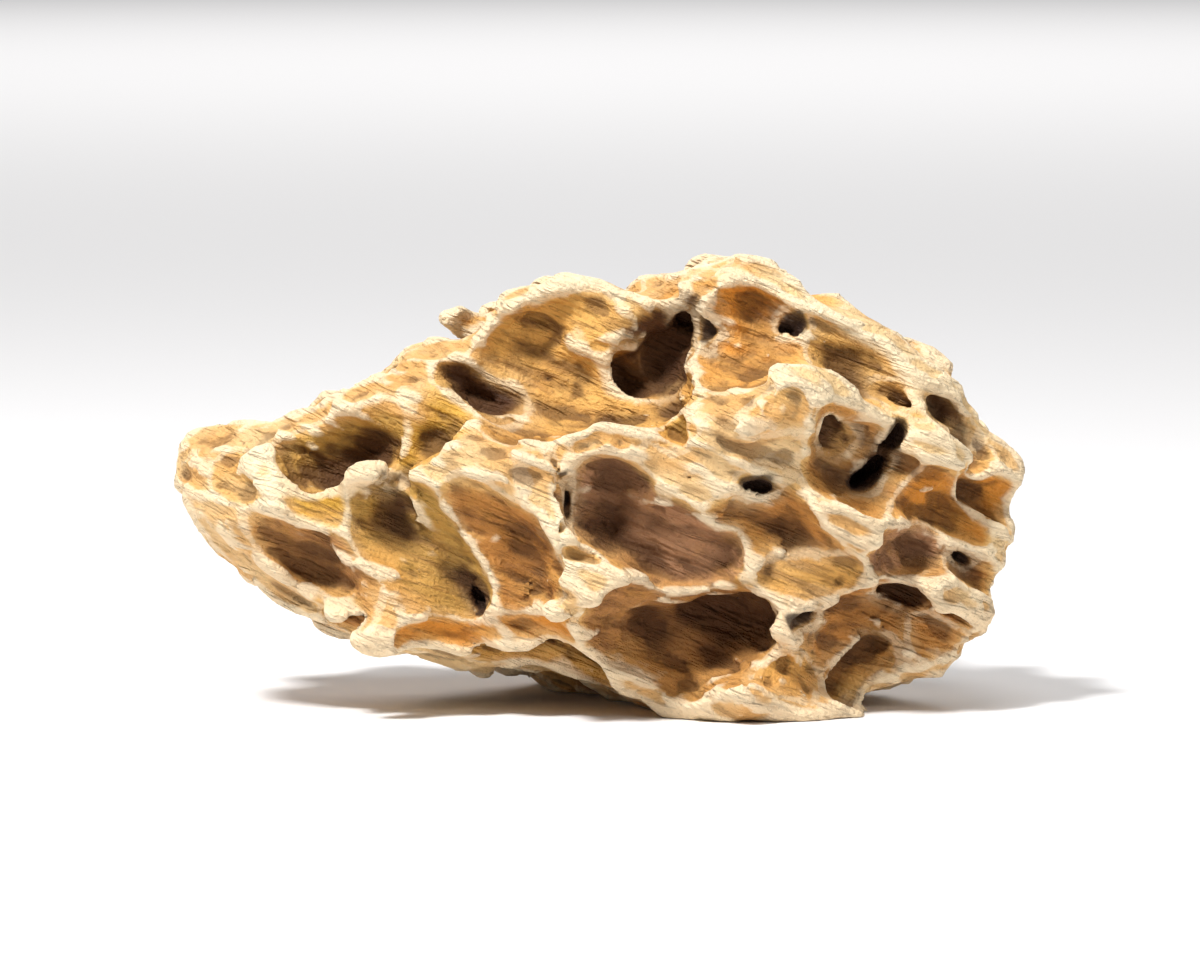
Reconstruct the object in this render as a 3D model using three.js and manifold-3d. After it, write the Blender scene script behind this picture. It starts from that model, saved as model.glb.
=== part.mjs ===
// Dragon stone: one weathered piece of clay rock, scooped all over by long pits that meet in sharp crests.
// Millimetres, +Z up. X runs along the stone, -Y is its front, and Z = 0 is the surface that it rests on.
import * as THREE from 'three';
import { mergeVertices } from 'three/addons/utils/BufferGeometryUtils.js';
import Module from 'manifold-3d';

// Driving dimensions: how far the bare body reaches from its middle, before lumps and pits.
const MIDDLE_HEIGHT = 37;
const FRONT_DEPTH = 31;
const BACK_DEPTH = 35;
const FRONT_LEAN = 7;
const ROUNDNESS = 2.5;

// The outline seen from the front: its reach from the middle, every 15 degrees, anticlockwise from +X.
const OUTLINE = [
  68, 60.5, 52.5, 50, 43, 35, 34.8, 34.2, 34.2, 35.4, 39.6, 51,
  69.5, 62, 51.5, 42.5, 37, 35, 36, 40, 45.5, 53, 62, 67,
];

const MIDDLE = new THREE.Vector3(0, 0, MIDDLE_HEIGHT);

// Rough half sizes of the body, by which its facets and the spiral of scoops are spread evenly.
const BODY_HALVES = new THREE.Vector3(68, 34, 38);

// The last move, which stands the box of the finished stone over the origin.
const CENTRING = new THREE.Vector3(-0.8, 0.8, 0);

// Knobs, swells and shelves. A tilt raises the right-hand end, in degrees.
const LUMPS = [
  { name: 'heel', at: [2, 13, 13], size: [25, 19, 15], tilt: 0 },
  { name: 'top knob', at: [24.5, 9, 62.3], size: [14, 14, 11.5], tilt: -8 },
  { name: 'left knob', at: [-58.5, -2, 37.4], size: [12.5, 15, 8], tilt: 10 },
  { name: 'pale swell', at: [27, -19, 47], size: [20, 13, 8.5], tilt: -15 },
  { name: 'right lobe', at: [49, -8, 48], size: [17, 12, 8], tilt: -38 },
  { name: 'middle shelf', at: [-5, -24, 43], size: [20, 10, 6], tilt: 8 },
  { name: 'lower shelf', at: [8, -27, 23], size: [19, 9, 4.5], tilt: 10 },
  { name: 'foot ledge', at: [20, -17, 7], size: [27, 13, 8], tilt: -20 },
  { name: 'left ledge', at: [-29, -17, 14.5], size: [19, 12, 6], tilt: -10 },
  { name: 'right tip', at: [60, -4, 38], size: [10, 9, 5], tilt: -20 },
];

// The scoops in the front. Each lies with its middle on the surface at x and z. Along, across and deep are
// half sizes, tilt raises the right-hand end, and plunge drives the right-hand end into the stone.
const FRONT_PITS = [
  { name: 'upper bowl', x: -4, z: 57.5, along: 19, across: 11, deep: 10, tilt: 6, plunge: 14 },
  { name: 'bowl hole', x: 8, z: 60.5, along: 7, across: 7, deep: 13, tilt: -70, plunge: 0 },
  { name: 'lipped hole', x: -18, z: 53.4, along: 9.5, across: 4.2, deep: 11, tilt: -14, plunge: 10 },
  { name: 'left recess', x: -40, z: 45.8, along: 12, across: 6.6, deep: 7.5, tilt: 0, plunge: 18 },
  { name: 'ochre streak', x: -46, z: 35.3, along: 10.5, across: 4.4, deep: 4, tilt: -35, plunge: 10 },
  { name: 'left scoop', x: -47, z: 25.3, along: 14.5, across: 8, deep: 7, tilt: -27, plunge: 17 },
  { name: 'inner scoop', x: -29.2, z: 28.8, along: 13.8, across: 8.6, deep: 8.5, tilt: -50, plunge: 12 },
  { name: 'upright scoop', x: -15.8, z: 28.2, along: 12.6, across: 6.1, deep: 9, tilt: -76, plunge: 10 },
  { name: 'middle scoop', x: 6.6, z: 32.2, along: 15.2, across: 8.2, deep: 7.5, tilt: -22, plunge: 18 },
  { name: 'second scoop', x: 28.6, z: 30.4, along: 13, across: 7.4, deep: 7, tilt: -40, plunge: 20 },
  { name: 'upper recess', x: 24, z: 62, along: 12.5, across: 6.2, deep: 9, tilt: -12, plunge: 8 },
  { name: 'tan hollow', x: 39, z: 59, along: 10, across: 6.2, deep: 5, tilt: -35, plunge: 8 },
  { name: 'double hole', x: 42.5, z: 40.5, along: 11, across: 6, deep: 8, tilt: -12, plunge: 25 },
  { name: 'hollow under the tip', x: 54, z: 35.3, along: 11.5, across: 5.6, deep: 6.5, tilt: -18, plunge: 12 },
  { name: 'right scoop', x: 51.5, z: 26.3, along: 11, across: 6, deep: 6.5, tilt: 2, plunge: 18 },
  { name: 'lower right scoop', x: 44.5, z: 12.6, along: 13, across: 8.6, deep: 7.5, tilt: -45, plunge: 8 },
  { name: 'long bottom scoop', x: 10.6, z: 12, along: 18.6, across: 7.3, deep: 9.5, tilt: -18, plunge: 17 },
  { name: 'tan scoop', x: 18.2, z: 19.4, along: 12, across: 5, deep: 4.6, tilt: -15, plunge: 12 },
  { name: 'ledge scoop', x: -19, z: 13.8, along: 13, across: 5, deep: 4.4, tilt: 3, plunge: 5 },
  { name: 'undercut', x: -7, z: 7, along: 17, across: 5, deep: 7, tilt: -18, plunge: 0 },
  { name: 'belly scoop', x: -14, z: 2.5, along: 23, across: 6, deep: 10, tilt: -10, plunge: 0 },
  { name: 'shoulder scoop', x: 35, z: 21.5, along: 9, across: 4.8, deep: 4, tilt: 8, plunge: 10 },
  { name: 'rim scoop', x: -37, z: 13.5, along: 7, across: 3.5, deep: 3.5, tilt: -20, plunge: 0 },
  { name: 'knob scoop', x: -57, z: 38, along: 7.5, across: 5, deep: 2.6, tilt: -25, plunge: 0 },
  { name: 'edge scoop', x: 60.5, z: 45, along: 6.5, across: 3.5, deep: 3.5, tilt: -50, plunge: 0 },
  { name: 'tip notch', x: 65.5, z: 34.2, along: 9, across: 2.8, deep: 5.5, tilt: -10, plunge: 0 },
  { name: 'far notch', x: 63, z: 22.5, along: 9, across: 3.2, deep: 5, tilt: -12, plunge: 0 },
  { name: 'low notch', x: 54.5, z: 10.5, along: 11, across: 4, deep: 6.5, tilt: -12, plunge: 0 },
  { name: 'facet', x: -26, z: 48, along: 8.5, across: 4, deep: 3.2, tilt: 68, plunge: 0 },
];

// The scoops in the hidden sides are spread evenly by a spiral about Y that stops short of the front.
const SPIRAL_PITS = 82;
const SPIRAL_FRONT_LIMIT = -0.12;
const SPIRAL_FOOT_LIMIT = -0.72;
const GOLDEN_ANGLE = Math.PI * (3 - Math.sqrt(5));
const HIDDEN_ALONG = { least: 12, spread: 6 };
const HIDDEN_ACROSS = { least: 6, spread: 2.5 };
const HIDDEN_DEEP = { least: 4.5, spread: 3 };
const BEDDING_TILT = -22;
const BEDDING_SPREAD = 26;
const HIDDEN_PLUNGE = { least: 6, spread: 16 };

// Low swells that keep the body from being a perfect egg. Each is the product of two waves, as a share of
// its reach.
const RIPPLES = [
  { share: 0.04, first: [5, 0, 2], firstStart: 0.7, second: [-3, 4, 0], secondStart: 1.9 },
  { share: 0.02, first: [0, 6, 9], firstStart: 0, second: [8, 0, 0], secondStart: 1.1 },
];

// A slow sideways drift that makes every scoop and lump a little irregular: how far it moves a point along
// x, y and z, with the turn of each wave in radians per millimetre.
const DRIFTS = [
  { far: 1.5, turn: [0, 0.13, 0.21], start: 0.6 },
  { far: 1.1, turn: [0.19, 0, -0.17], start: 2.1 },
  { far: 1.4, turn: [0.23, 0.11, 0], start: 4.0 },
];

// The three factors of the repeatable chance.
const CHANCE_ITEM = 12.9898;
const CHANCE_USE = 78.233;
const CHANCE_SCALE = 43758.5453;

// The steps that find the front surface, and the step that its slope is taken over.
const SEARCH_STEPS = 24;
const SLOPE_STEP = 0.5;
const WELD = 1e-5;

// The block under the resting surface.
const GROUND_WIDTH = 400;
const GROUND_DEPTH = 100;

// Facets: subdivisions of each face of the icosahedron that a piece starts from.
const BODY_DETAIL = 6;
const LUMP_DETAIL = 2;
const LARGE_PIT_DETAIL = 2;
const SMALL_PIT_DETAIL = 1;
const LARGE_PIT_LENGTH = 11.4;

const STONE = new THREE.MeshStandardMaterial({ color: 0xc9a070, roughness: 0.85, metalness: 0 });

const wasm = await Module();
wasm.setup();

const radians = THREE.MathUtils.degToRad;

// A repeatable number from 0 to 1 for the item'th scoop, one for each use.
function chance(item, use) {
  const raised = Math.sin(item * CHANCE_ITEM + use * CHANCE_USE) * CHANCE_SCALE;
  return raised - Math.floor(raised);
}

// A smooth closed curve through the outline's reaches.
function outlineReach(angle) {
  const count = OUTLINE.length;
  const place = ((angle / (2 * Math.PI)) * count + count) % count;
  const index = Math.floor(place);
  const t = place - index;
  const [a, b, c, d] = [-1, 0, 1, 2].map((step) => OUTLINE[(index + step + count) % count]);
  return b + 0.5 * t * (c - a + t * (2 * a - 5 * b + 4 * c - d + t * (3 * (b - c) + d - a)));
}

// A wave at a point: its turn is how fast it runs along x, y and z.
function wave(point, turn, start) {
  return Math.sin(point.dot(new THREE.Vector3(...turn)) + start);
}

// The swells of the body in a direction of unit length.
function ripple(direction) {
  return RIPPLES.reduce((total, { share, first, firstStart, second, secondStart }) => {
    return total + share * wave(direction, first, firstStart) * wave(direction, second, secondStart);
  }, 1);
}

// How far the bare body reaches from its middle in a direction of unit length.
function bodyReach(direction) {
  const { x, y, z } = direction;
  const depth = y < 0 ? FRONT_DEPTH - FRONT_LEAN * z : BACK_DEPTH;
  const outward = Math.hypot(x, z) / outlineReach(Math.atan2(z, x));
  const sum = (Math.abs(y) / depth) ** ROUNDNESS + outward ** ROUNDNESS;
  return sum ** (-1 / ROUNDNESS) * ripple(direction);
}

// Below 0 inside the bare body and above 0 outside it.
function bodyField(point) {
  const offset = point.clone().sub(MIDDLE);
  const distance = offset.length();
  return distance - bodyReach(offset.divideScalar(distance));
}

// The front surface of the bare body at x and z.
function frontPoint(x, z) {
  let inside = MIDDLE.y;
  let outside = MIDDLE.y - 2 * FRONT_DEPTH;
  for (let step = 0; step < SEARCH_STEPS; step += 1) {
    const y = (inside + outside) / 2;
    if (bodyField(new THREE.Vector3(x, y, z)) < 0) {
      inside = y;
    } else {
      outside = y;
    }
  }
  return new THREE.Vector3(x, inside, z);
}

// The bare body's outward normal, from the slope of its field.
function bodyNormal(point) {
  const slope = ['x', 'y', 'z'].map((axis) => {
    const ahead = point.clone();
    const behind = point.clone();
    ahead[axis] += SLOPE_STEP;
    behind[axis] -= SLOPE_STEP;
    return bodyField(ahead) - bodyField(behind);
  });
  return new THREE.Vector3(...slope).normalize();
}

function drift(point) {
  return new THREE.Vector3(...DRIFTS.map(({ far, turn, start }) => far * wave(point, turn, start)));
}

// A closed geometry of positions only, as a solid.
function solidOf(geometry) {
  const bare = geometry.clone();
  bare.deleteAttribute('normal');
  bare.deleteAttribute('uv');
  const merged = mergeVertices(bare, WELD);
  return new wasm.Manifold(new wasm.Mesh({
    numProp: 3,
    vertProperties: new Float32Array(merged.attributes.position.array),
    triVerts: new Uint32Array(merged.index.array),
  }));
}

function geometryOf(solid) {
  const mesh = solid.getMesh();
  const geometry = new THREE.BufferGeometry();
  geometry.setAttribute('position', new THREE.BufferAttribute(mesh.vertProperties, 3));
  geometry.setIndex(new THREE.BufferAttribute(mesh.triVerts, 1));
  geometry.computeVertexNormals();
  return geometry;
}

// An icosphere with each of its points moved by a function.
function shapedBall(detail, move) {
  const ball = new THREE.IcosahedronGeometry(1, detail);
  const positions = ball.attributes.position;
  const point = new THREE.Vector3();
  for (let index = 0; index < positions.count; index += 1) {
    point.fromBufferAttribute(positions, index);
    const moved = move(point);
    positions.setXYZ(index, moved.x, moved.y, moved.z);
  }
  return solidOf(ball);
}

function makeBody() {
  return shapedBall(BODY_DETAIL, (point) => {
    const direction = point.clone().multiply(BODY_HALVES).normalize();
    return MIDDLE.clone().addScaledVector(direction, bodyReach(direction));
  });
}

function makeLump({ at, size, tilt }) {
  const turn = new THREE.Matrix4().makeRotationY(-radians(tilt));
  const centre = new THREE.Vector3(...at);
  return shapedBall(LUMP_DETAIL, (point) => {
    const placed = point.clone().multiply(new THREE.Vector3(...size)).applyMatrix4(turn).add(centre);
    return placed.add(drift(placed));
  });
}

// A scoop's cutter: an ellipsoid with its middle on the surface, its long axis along the bedding.
function makePit(surface, { along, across, deep, tilt, plunge }, detail) {
  const normal = bodyNormal(surface);
  const strike = new THREE.Vector3(Math.cos(radians(tilt)), 0, Math.sin(radians(tilt)));
  strike.addScaledVector(normal, -strike.dot(normal)).normalize();
  const dip = radians(plunge);
  const long = strike.clone().multiplyScalar(Math.cos(dip)).addScaledVector(normal, -Math.sin(dip));
  const inward = normal.clone().multiplyScalar(Math.cos(dip)).addScaledVector(strike, Math.sin(dip));
  const wide = inward.clone().cross(long);
  const home = drift(surface);
  return shapedBall(detail, (point) => {
    const placed = surface.clone()
      .addScaledVector(long, point.x * along)
      .addScaledVector(wide, point.y * across)
      .addScaledVector(inward, point.z * deep);
    return placed.add(drift(placed)).sub(home);
  });
}

function makeFrontPits() {
  return FRONT_PITS.map((pit) => {
    const detail = pit.along < LARGE_PIT_LENGTH ? SMALL_PIT_DETAIL : LARGE_PIT_DETAIL;
    return makePit(frontPoint(pit.x, pit.z), pit, detail);
  });
}

function makeHiddenPits() {
  const pits = [];
  for (let item = 0; item < SPIRAL_PITS; item += 1) {
    const y = 1 - (2 * item + 1) / SPIRAL_PITS;
    const around = item * GOLDEN_ANGLE;
    const ring = Math.sqrt(1 - y * y);
    const spot = new THREE.Vector3(ring * Math.cos(around), y, ring * Math.sin(around));
    if (y < SPIRAL_FRONT_LIMIT || spot.z < SPIRAL_FOOT_LIMIT) {
      continue;
    }
    const direction = spot.multiply(BODY_HALVES).normalize();
    const surface = MIDDLE.clone().addScaledVector(direction, bodyReach(direction));
    const pick = (range, use) => range.least + range.spread * chance(item, use);
    pits.push(makePit(surface, {
      along: pick(HIDDEN_ALONG, 1),
      across: pick(HIDDEN_ACROSS, 2),
      deep: pick(HIDDEN_DEEP, 3),
      tilt: BEDDING_TILT + BEDDING_SPREAD * (chance(item, 4) - 0.5),
      plunge: pick(HIDDEN_PLUNGE, 5),
    }, SMALL_PIT_DETAIL));
  }
  return pits;
}

// What would lie under the surface that the stone rests on. Cutting it away leaves the flat foot.
function makeGround() {
  const ground = new THREE.BoxGeometry(GROUND_WIDTH, GROUND_WIDTH, GROUND_DEPTH);
  ground.translate(0, 0, -GROUND_DEPTH / 2);
  return solidOf(ground);
}

function makeStone() {
  const lumps = LUMPS.map(makeLump);
  const cutters = [...makeFrontPits(), ...makeHiddenPits(), makeGround()];
  const whole = lumps.reduce((solid, lump) => solid.add(lump), makeBody());
  return cutters.reduce((solid, cutter) => solid.subtract(cutter), whole).translate(CENTRING.toArray());
}

const stone = new THREE.Mesh(geometryOf(makeStone()), STONE);
stone.name = 'dragon_stone';

const group = new THREE.Group();
group.add(stone);

export default group;
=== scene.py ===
import math
from itertools import product

import bpy
import numpy as np
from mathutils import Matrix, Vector


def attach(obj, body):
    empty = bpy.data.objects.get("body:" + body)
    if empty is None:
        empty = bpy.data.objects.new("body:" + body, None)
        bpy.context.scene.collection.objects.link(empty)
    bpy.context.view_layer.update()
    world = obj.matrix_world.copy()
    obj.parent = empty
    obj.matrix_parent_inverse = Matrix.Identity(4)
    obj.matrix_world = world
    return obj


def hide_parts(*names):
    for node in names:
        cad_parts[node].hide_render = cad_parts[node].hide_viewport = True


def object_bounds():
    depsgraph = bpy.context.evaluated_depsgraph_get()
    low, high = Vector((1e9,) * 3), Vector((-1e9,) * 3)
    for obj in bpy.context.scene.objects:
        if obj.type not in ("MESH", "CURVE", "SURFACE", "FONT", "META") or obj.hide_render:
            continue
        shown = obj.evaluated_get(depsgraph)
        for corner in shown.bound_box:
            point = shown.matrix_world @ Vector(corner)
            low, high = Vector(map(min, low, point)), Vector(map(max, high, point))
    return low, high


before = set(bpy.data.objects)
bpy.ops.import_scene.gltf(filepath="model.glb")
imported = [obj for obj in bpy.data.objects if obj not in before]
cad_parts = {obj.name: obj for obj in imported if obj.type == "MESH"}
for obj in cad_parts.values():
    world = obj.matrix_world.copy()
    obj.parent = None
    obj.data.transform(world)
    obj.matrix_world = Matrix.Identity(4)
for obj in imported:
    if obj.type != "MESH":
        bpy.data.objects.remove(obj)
cad_box = [list(corner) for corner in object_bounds()]

# The looks of a dragon stone: the body, lumps and scoops of the solid, carved again on a fine grid of
# distances, with the small holes, scallops, chips and ridges that the solid leaves out. Shapes are in
# millimetres in the part's own frame, and become metres when the mesh is made.

MILLIMETRE = 0.001
PITCH = 0.64
GRID_MARGIN = 2.5
TRIANGLE_LIMIT = 190000

# The bare body, with the values of the solid.
MIDDLE = np.array([0.0, 0.0, 37.0], np.float32)
CENTRING = np.array([-0.8, 0.8, 0.0])
FRONT_DEPTH = 31
BACK_DEPTH = 35
FRONT_LEAN = 7
BODY_ROUNDNESS = 2.5
OUTLINE = [
    68, 60.5, 52.5, 50, 43, 35, 34.8, 34.2, 34.2, 35.4, 39.6, 51,
    69.5, 62, 51.5, 42.5, 37, 35, 36, 40, 45.5, 53, 62, 67,
]
BODY_SCALE = np.array([68.0, 34.0, 38.0])

# Ripples of the bare body: the height, then two waves that are multiplied. A wave is how fast it turns
# along x, y and z, and where it starts.
RIPPLES = [
    (0.04, (5, 0, 2, 0.7), (-3, 4, 0, 1.9)),
    (0.02, (0, 6, 9, 0.0), (8, 0, 0, 1.1)),
]

# The slow sideways drift that makes every scoop and lump a little irregular, as on the solid: how far it
# moves a point along x, y and z, and the wave that it follows.
DRIFTS = [
    (1.5, (0, 0.13, 0.21, 0.6)),
    (1.1, (0.19, 0, -0.17, 2.1)),
    (1.4, (0.23, 0.11, 0, 4.0)),
]

# The numbers of a repeatable draw, as on the solid.
CHANCE_ITEM = 12.9898
CHANCE_USE = 78.233
CHANCE_SCALE = 43758.5453

# Lumps: middle, half sizes, and the tilt in degrees that raises the right-hand end.
LUMPS = {
    "heel": ((2, 13, 13), (25, 19, 15), 0),
    "top knob": ((24.5, 9, 62.3), (14, 14, 11.5), -8),
    "left knob": ((-58.5, -2, 37.4), (12.5, 15, 8), 10),
    "pale swell": ((27, -19, 47), (20, 13, 8.5), -15),
    "right lobe": ((49, -8, 48), (17, 12, 8), -38),
    "middle shelf": ((-5, -24, 43), (20, 10, 6), 8),
    "lower shelf": ((8, -27, 23), (19, 9, 4.5), 10),
    "foot ledge": ((20, -17, 7), (27, 13, 8), -20),
    "left ledge": ((-29, -17, 14.5), (19, 12, 6), -10),
    "right tip": ((60, -4, 38), (10, 9, 5), -20),
}

# Scoops in the front: x and z of the middle, half length, half width, depth, tilt, plunge of the
# right-hand end and the tone of the floor. Only the bowl hole and the lipped hole differ from the solid's.
# The bowl hole and the lipped hole take a near-black tone, which paints the shade of their depth.
FRONT_SCOOPS = {
    "upper bowl": (-4, 57.5, 19, 11, 10, 6, 14, "tan"),
    "bowl hole": (8.8, 63.5, 6, 5.6, 12, -70, 0, "deep"),
    "lipped hole": (-18, 53.8, 9.5, 3.4, 10, -16, 10, "deep"),
    "left recess": (-40, 45.8, 12, 6.6, 7.5, 0, 18, "olive"),
    "ochre streak": (-46, 35.3, 10.5, 4.4, 4, -35, 10, "ochre"),
    "left scoop": (-47, 25.3, 14.5, 8, 7, -27, 17, "brown"),
    "inner scoop": (-29.2, 28.8, 13.8, 8.6, 8.5, -50, 12, "olive"),
    "upright scoop": (-15.8, 28.2, 12.6, 6.1, 9, -76, 10, "umber"),
    "middle scoop": (6.6, 32.2, 15.2, 8.2, 7.5, -22, 18, "purple"),
    "second scoop": (28.6, 30.4, 13, 7.4, 7, -40, 20, "umber"),
    "upper recess": (24, 62, 12.5, 6.2, 9, -12, 8, "rust"),
    "tan hollow": (39, 59, 10, 6.2, 5, -35, 8, "tan"),
    "double hole": (42.5, 40.5, 11, 6, 8, -12, 25, "umber"),
    "hollow under the tip": (54, 35.3, 11.5, 5.6, 6.5, -18, 12, "rust"),
    "right scoop": (51.5, 26.3, 11, 6, 6.5, 2, 18, "purple"),
    "lower right scoop": (44.5, 12.6, 13, 8.6, 7.5, -45, 8, "umber"),
    "long bottom scoop": (10.6, 12, 18.6, 7.3, 9.5, -18, 17, "brown"),
    "tan scoop": (18.2, 19.4, 12, 5, 4.6, -15, 12, "tan"),
    "ledge scoop": (-19, 13.8, 13, 5, 4.4, 3, 5, "rust"),
    "undercut": (-7, 7, 17, 5, 7, -18, 0, "tan"),
    "belly scoop": (-14, 2.5, 23, 6, 10, -10, 0, "brown"),
    "shoulder scoop": (35, 21.5, 9, 4.8, 4, 8, 10, "tan"),
    "rim scoop": (-37, 13.5, 7, 3.5, 3.5, -20, 0, "umber"),
    "knob scoop": (-57, 38, 7.5, 5, 2.6, -25, 0, "cream"),
    "edge scoop": (60.5, 45, 6.5, 3.5, 3.5, -50, 0, "umber"),
    "tip notch": (65.5, 34.2, 9, 2.8, 5.5, -10, 0, "rust"),
    "far notch": (63, 22.5, 9, 3.2, 5, -12, 0, "umber"),
    "low notch": (54.5, 10.5, 11, 4, 6.5, -12, 0, "umber"),
    "facet": (-26, 48, 8.5, 4, 3.2, 68, 0, "ochre"),
}

# Holes and nicks in the front that are too small for the solid, in the same terms. The near-black tone of
# the small holes, slits and cracks is painted shade.
FRONT_NICKS = {
    "pin hole": (-32.4, 38.1, 1.4, 1.0, 3, 0, 0, "shade_black"),
    "scoop hole": (-18.4, 18.9, 1.5, 0.9, 3, -10, 0, "shade_black"),
    "crack top": (-5.6, 40.5, 3.0, 0.42, 1.8, -55, 0, "shade_black"),
    "crack middle": (-4.4, 35.5, 3.6, 0.42, 1.8, 88, 0, "shade_black"),
    "crack foot": (-5.4, 30.2, 2.2, 0.42, 1.5, 60, 0, "shade_black"),
    "rusty slit": (-1.9, 27.3, 4.2, 1.5, 2.5, -25, 0, "rust"),
    "black slit": (26, 37.7, 2.6, 0.9, 4, -30, 0, "shade_black"),
    "crevice": (12.5, 46.6, 4.2, 1.8, 4, -20, 0, "ochre"),
    "recess hole": (32, 62.2, 2.4, 1.1, 5, -20, 0, "shade_black"),
    "upper black hole": (48, 44.8, 1.4, 2.4, 8, -12, 0, "shade_black"),
    "lower black hole": (44.3, 39.2, 1.6, 2.7, 8, -12, 0, "shade_black"),
    "lens": (48, 51, 5.0, 1.5, 2.0, -25, 0, "tan"),
    "far hole": (58.8, 24.4, 1.4, 0.8, 4, 0, 0, "shade_black"),
    "sub scoop": (49.5, 19.4, 4.5, 2.7, 5, -20, 0, "umber"),
    "orange edge": (57, 15.2, 5, 1.6, 2.5, -8, 0, "orange"),
    "ledge nick": (30.5, 8, 3.6, 1.4, 2.5, -15, 0, "tan"),
    "ledge slot": (32.8, 16.4, 2.4, 0.9, 3, -10, 0, "shade_black"),
    "low scoop": (41, 4.5, 7, 2.4, 4, -10, 0, "umber"),
    "spur slit": (16, 61.5, 3.0, 0.7, 2, -40, 0, "shade_black"),
    "bowl floor": (6, 52.5, 6.0, 3.5, 2.6, -10, 0, "orange"),
    "swell dimple": (29, 50, 8, 3, 1.6, -28, 0, "cream"),
    "swell trough": (37, 46, 7, 2.4, 1.8, -30, 0, "tan"),
    "shelf dimple": (-2, 44.5, 8, 2.6, 1.8, -5, 0, "cream"),
    "land dimple": (-8, 36, 3, 5, 1.4, 0, 0, "cream"),
    "right dimple": (56, 48, 6, 2.6, 1.8, -35, 0, "cream"),
}

# The scoops of the hidden sides, spread by a spiral about Y as on the solid. Each pair is the least value
# and how far above it a draw can go.
SPIRAL_PITS = 82
SPIRAL_FRONT_LIMIT = -0.12
SPIRAL_FOOT_LIMIT = -0.72
GOLDEN_ANGLE = math.pi * (3 - math.sqrt(5))
HIDDEN_ALONG = (12, 6)
HIDDEN_ACROSS = (6, 2.5)
HIDDEN_DEEP = (4.5, 3)
HIDDEN_PLUNGE = (6, 16)
BEDDING_TILT = -22
BEDDING_SPREAD = 26

# Small scoops and holes of the hidden sides, which the solid leaves out. Their width is a share of their
# length, and one that is no longer than NICK_SMALL is a hole painted near black as its shade.
NICK_DRAWS = 200
NICK_SEED = 5
NICK_FRONT_LIMIT = SPIRAL_FRONT_LIMIT - 0.1
NICK_ALONG = (2.0, 5.5)
NICK_WIDTH = (0.4, 0.25)
NICK_DEEP = (1.5, 3.5)
NICK_TURN = 60
NICK_PLUNGE = 10
NICK_SMALL = 2.7

# A straight line that looks for the surface starts this much outside the bare body, in shares of its
# reach, and then goes this far in steps of this length.
RAY_START = 1.1
RAY_LENGTH = 90
RAY_STEP = 0.4

# How far two forms run into each other where they meet, and the front scoops with softer edges.
LUMP_BLEND = 4.0
SCOOP_BLEND = 0.4
NICK_BLEND = 0.4
HIDDEN_BLEND = 1.5
FIN_BLEND = 0.5
CREST_BLEND = 0.8
SOFT_EDGES = {"bowl hole": 3.5, "facet": 2.0, "ochre streak": 2.0, "tan scoop": 2.0}

# The warp bends scoops and lumps: seed, size and strength of each of its two noises, and how far apart the
# three directions read them. A form is carved up to CARVE_MARGIN beyond its own size.
WARPS = [(11, 17, 3.0), (12, 6, 1.3)]
WARP_APART = 7.3
CARVE_MARGIN = 4.0

# Noise that is even in all directions: seed, size and strength of the bend of the bedding, of the rock's
# grain and of the rough walls of the small holes.
BEDDING_BEND = (21, 17, 1.6)
GRAIN = (23, 3.1, 0.12)
NICK_GRIT = (26, 2.1, 0.9)

# Relief near the surface. Scallops: seed, length along the bedding, width and depth.
ROUGH_BAND = 3.5
SCALLOPS = [(31, 17.0, 7.0, 2.3), (32, 9.5, 3.6, 0.9), (33, 4.5, 2.0, 0.3)]
SCALLOP_RADIUS = 0.85
SCALLOP_EDGE = 1.15
SCALLOP_LIFT = 0.5
# Chipped facets: seed, length along the bedding, width and height.
CHIPS = [(41, 8.0, 4.0, 0.35), (42, 3.8, 2.2, 0.18)]
# Thin ridges that run along the bedding: seed, length, width, thickness and height.
RIDGES = [(24, 26.0, 9.0, 5.5, 2.6), (25, 13.0, 5.0, 2.6, 1.4)]
RIDGE_LEVEL = 0.28
# Fine bedding lines, in the terms of the ridges.
BEDDING_LINES = (22, 26, 9, 1.9, 0.14)
# Scallops and ridges have their full height down to 1.25 mm below the bare body, and DEEP_SHARE of it from
# 3.75 mm down, where the scoops are.
DEEP_SHARE = 0.45
LAND_SHARE = 0.55
LAND_START = 1.5
LAND_SPAN = 2.5

# The whole surface lies SHRINK inside the bare one. From TOP_START up it goes in by up to TOP_SHRINK more
# over TOP_SPAN, which keeps the top within the solid's box.
SHRINK = 0.75
TOP_SHRINK = 1.4
TOP_START = 69
TOP_SPAN = 5

# How far the relief may stand out, and how far anything may stand above the bare body and its lumps.
HIGHEST_RELIEF = 2.4
HIGHEST_CREST = 1.0

# A fin is cut back where less than FIN_SHARE of the cube that reaches FIN_REACH cells around it is rock.
FIN_ROUNDS = 2
FIN_REACH = 2
FIN_SHARE = 0.27
FIN_DEPTH = 7.0

# Smoothing of the finished mesh: one step inwards, and one back out that keeps its size.
SMOOTHING = (0.5, -0.53)

# Measures on the mesh that the colours follow. How enclosed a point is comes from the share of rock in the
# cube that reaches ENCLOSED_REACH cells around a spot ENCLOSED_LIFT above it, and how sharp a crest is from
# the field blurred over CREST_BLUR cells. Colours of scoops run TINT_BLEND over their edges.
ENCLOSED_REACH = 9
ENCLOSED_LIFT = 2.5
CREST_BLUR = 2
CREST_LIMIT = 3
CREST_REACH = 9.0
TINT_BLEND = 0.9

# Guards against division by nothing, and steps of the searches.
LEAST_DISTANCE = 1e-3
LEAST_STEEPNESS = 1e-4
LEAST_WEIGHT = 1e-6
LEAST_SLOPE = 0.6
SLOPE_STEP = 0.5
SEARCH_STEPS = 24

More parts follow.
